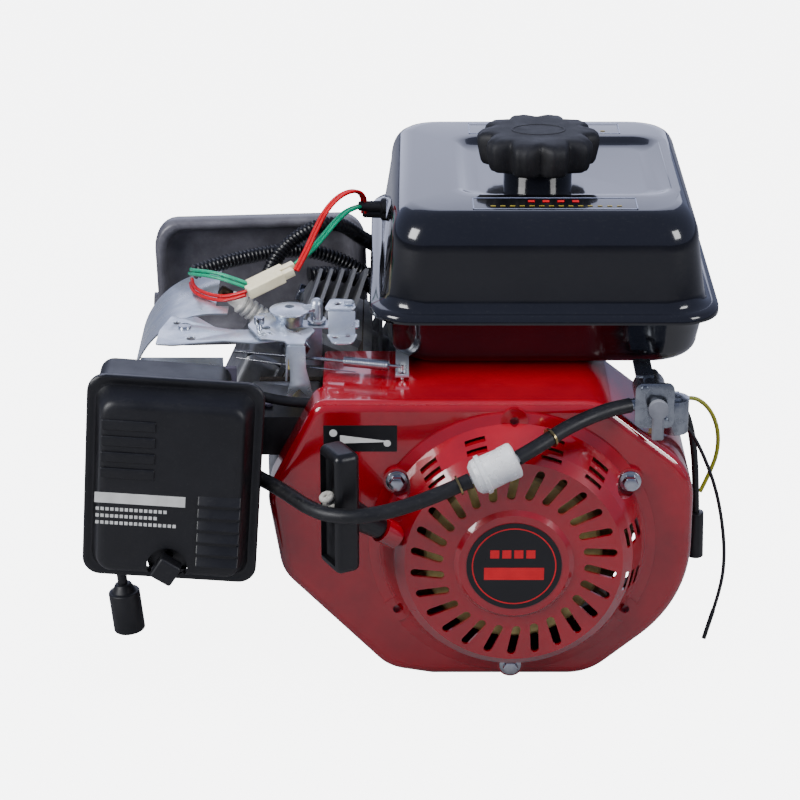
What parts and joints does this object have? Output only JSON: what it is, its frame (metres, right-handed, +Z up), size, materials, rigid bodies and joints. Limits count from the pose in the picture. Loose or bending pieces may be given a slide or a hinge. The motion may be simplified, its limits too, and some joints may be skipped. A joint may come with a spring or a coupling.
{
  "type": "small gasoline engine",
  "caption": "Air-cooled single-cylinder gasoline engine with recoil starter, top-mounted fuel tank, air cleaner, muffler, throttle control and a horizontal keyed output shaft.",
  "frame": {"origin": "on the base mounting face, straight below the crankshaft axis", "axes": "+X to the right seen from the recoil starter, +Y along the output shaft away from the starter, +Z up"},
  "size_m": [0.4403, 0.3795, 0.351],
  "materials": {
    "crankcase": "sand cast",
    "side_cover": "die cast",
    "cylinder_head": "cast, finned",
    "valve_cover": "die cast",
    "gaskets_and_seals": "pressed gasket",
    "main_bearings": "ground steel",
    "crankshaft": "turned and ground",
    "flywheel": "cast iron",
    "cooling_fan": "moulded",
    "starter_cup": "yellow zinc",
    "camshaft": "machined",
    "piston": "machined",
    "connecting_rod": "forged",
    "valves": "ground",
    "rockers": "hardened",
    "fan_cover": "gloss red paint",
    "recoil_cover": "gloss red paint",
    "starter_pulley": "moulded",
    "starter_grip": "moulded",
    "starter_rope": "braided",
    "ignition_coil": "laminated core, potted",
    "spark_plug": "plated",
    "spark_plug_insulator": "glazed ceramic",
    "carburetor": "die cast",
    "throttle_shaft": "zinc plated",
    "choke_lever": "moulded",
    "air_cleaner_case": "moulded",
    "filter_element": "foam",
    "air_cover": "moulded",
    "air_knob": "moulded",
    "muffler": "black heat paint",
    "exhaust_pipe": "steel",
    "heat_shield": "zinc plated sheet",
    "fuel_tank_upper": "gloss black paint",
    "fuel_tank_lower": "gloss black paint",
    "fuel_cap": "moulded",
    "fuel_cock": "die cast and plated",
    "cock_lever": "moulded",
    "fuel_hose_tank_side": "rubber hose",
    "fuel_hose_carb_side": "rubber hose",
    "fuel_filter": "translucent nylon",
    "hose_clips": "spring wire",
    "control_base": "zinc plated sheet",
    "control_lever": "zinc plated sheet",
    "control_screws": "plated",
    "governor_arm": "zinc plated sheet",
    "governor_rod": "spring wire",
    "oil_dipstick": "moulded",
    "ht_lead": "rubber",
    "spark_plug_cap": "moulded rubber",
    "conduit_long": "corrugated",
    "conduit_short": "corrugated",
    "red_wires": "PVC",
    "green_wires": "PVC",
    "wire_connectors": "nylon",
    "earth_wire": "PVC",
    "stop_lead": "PVC",
    "coil_lead": "PVC",
    "lead_terminals": "sleeve and bullet",
    "flange_bolts": "zinc plated"
  },
  "bodies": {
    "root": {"crankcase": "crankcase", "side_cover": "side_cover", "cylinder_head": "cylinder_head", "valve_cover": "valve_cover", "gaskets_and_seals": "gaskets_and_seals", "main_bearings": "main_bearings", "valves": "valves", "rockers": "rockers", "fan_cover": "fan_cover", "recoil_cover": "recoil_cover", "ignition_coil": "ignition_coil", "spark_plug": "spark_plug", "spark_plug_insulator": "spark_plug_insulator", "carburetor": "carburetor", "air_cleaner_case": "air_cleaner_case", "filter_element": "filter_element", "muffler": "muffler", "exhaust_pipe": "exhaust_pipe", "heat_shield": "heat_shield", "fuel_tank_upper": "fuel_tank_upper", "fuel_tank_lower": "fuel_tank_lower", "fuel_cock": "fuel_cock", "fuel_hose_tank_side": "fuel_hose_tank_side", "fuel_hose_carb_side": "fuel_hose_carb_side", "fuel_filter": "fuel_filter", "hose_clips": "hose_clips", "control_base": "control_base", "control_screws": "control_screws", "ht_lead": "ht_lead", "spark_plug_cap": "spark_plug_cap", "conduit_long": "conduit_long", "conduit_short": "conduit_short", "red_wires": "red_wires", "green_wires": "green_wires", "wire_connectors": "wire_connectors", "earth_wire": "earth_wire", "stop_lead": "stop_lead", "coil_lead": "coil_lead", "lead_terminals": "lead_terminals", "flange_bolts": "flange_bolts"},
    "crank": {"crankshaft": "crankshaft", "flywheel": "flywheel", "cooling_fan": "cooling_fan", "starter_cup": "starter_cup"},
    "cam": {"camshaft": "camshaft"},
    "piston_rod": {"piston": "piston", "connecting_rod": "connecting_rod"},
    "pulley": {"starter_pulley": "starter_pulley"},
    "grip": {"starter_grip": "starter_grip", "starter_rope": "starter_rope"},
    "cap": {"fuel_cap": "fuel_cap"},
    "cock": {"cock_lever": "cock_lever"},
    "speed_lever": {"control_lever": "control_lever"},
    "governor": {"governor_arm": "governor_arm"},
    "link": {"governor_rod": "governor_rod"},
    "throttle": {"throttle_shaft": "throttle_shaft"},
    "choke": {"choke_lever": "choke_lever"},
    "cleaner_lid": {"air_cover": "air_cover"},
    "lid_knob": {"air_knob": "air_knob"},
    "dipstick": {"oil_dipstick": "oil_dipstick"}
  },
  "joints": [
    {"name": "crank_spin", "type": "hinge", "parent": "root", "child": "crank", "pos_m": [0, 0.064, 0.106], "axis": [0, 1, 0], "continuous": true},
    {"name": "cam_spin", "type": "hinge", "parent": "root", "child": "cam", "pos_m": [-0.04267, 0, 0.07294], "axis": [0, 1, 0], "continuous": true},
    {"name": "piston_stroke", "type": "slide", "parent": "root", "child": "piston_rod", "axis": [-0.9063, 0, 0.4226], "range_m": [-0.055, 0]},
    {"name": "starter_pull", "type": "slide", "parent": "root", "child": "grip", "axis": [-0.7251, -0.35, 0.5931], "range_m": [0, 0.75], "stiffness_N_per_m": 20, "springref_m": -0.2, "deforming": ["starter_rope", "fuel_hose_carb_side"]},
    {"name": "starter_pulley_spin", "type": "hinge", "parent": "root", "child": "pulley", "pos_m": [0, -0.163, 0.106], "axis": [0, 1, 0], "range_deg": [0, 900]},
    {"name": "fuel_cap_turn", "type": "hinge", "parent": "root", "child": "cap", "pos_m": [0.02, 0.002, 0.34], "axis": [0, 0, 1], "range_deg": [0, 100]},
    {"name": "cock_turn", "type": "hinge", "parent": "root", "child": "cock", "pos_m": [0.095, -0.154, 0.207], "axis": [0, 1, 0], "range_deg": [0, 90]},
    {"name": "speed_lever_swing", "type": "hinge", "parent": "root", "child": "speed_lever", "pos_m": [-0.152, -0.06, 0.232], "axis": [0, 0, 1], "range_deg": [-20, 0]},
    {"name": "governor_swing", "type": "hinge", "parent": "root", "child": "governor", "pos_m": [-0.058, -0.054, 0.15], "axis": [0, 1, 0], "range_deg": [-7.5, 0], "stiffness_Nm_per_rad": 0.3, "springref_deg": 5.73},
    {"name": "link_slide", "type": "slide", "parent": "root", "child": "link", "axis": [1, 0, 0], "range_m": [-0.0088, 0]},
    {"name": "throttle_turn", "type": "hinge", "parent": "root", "child": "throttle", "pos_m": [-0.148, -0.066, 0.19], "axis": [0, 0, 1], "range_deg": [-21, 0]},
    {"name": "choke_swing", "type": "hinge", "parent": "root", "child": "choke", "pos_m": [-0.166, -0.1, 0.191], "axis": [0, 0, 1], "range_deg": [-60, 0]},
    {"name": "lid_off", "type": "slide", "parent": "root", "child": "cleaner_lid", "axis": [0, -1, 0], "range_m": [0, 0.06]},
    {"name": "knob_turn", "type": "hinge", "parent": "cleaner_lid", "child": "lid_knob", "pos_m": [-0.23193, -0.18, 0.10417], "axis": [0, 1, 0], "range_deg": [-360, 0]},
    {"name": "dipstick_turn", "type": "hinge", "parent": "root", "child": "dipstick", "pos_m": [0.06, 0.064, 0.038], "axis": [0, 1, 0], "range_deg": [0, 1080]}
  ],
  "couplings": [
    {"joint": "cam_spin", "follows": "crank_spin", "ratio": -0.5},
    {"joint": "starter_pulley_spin", "follows": "starter_pull", "rad_per_m": 20.833},
    {"joint": "link_slide", "follows": "governor_swing", "m_per_rad": 0.066},
    {"joint": "throttle_turn", "follows": "governor_swing", "ratio": 2.75}
  ]
}
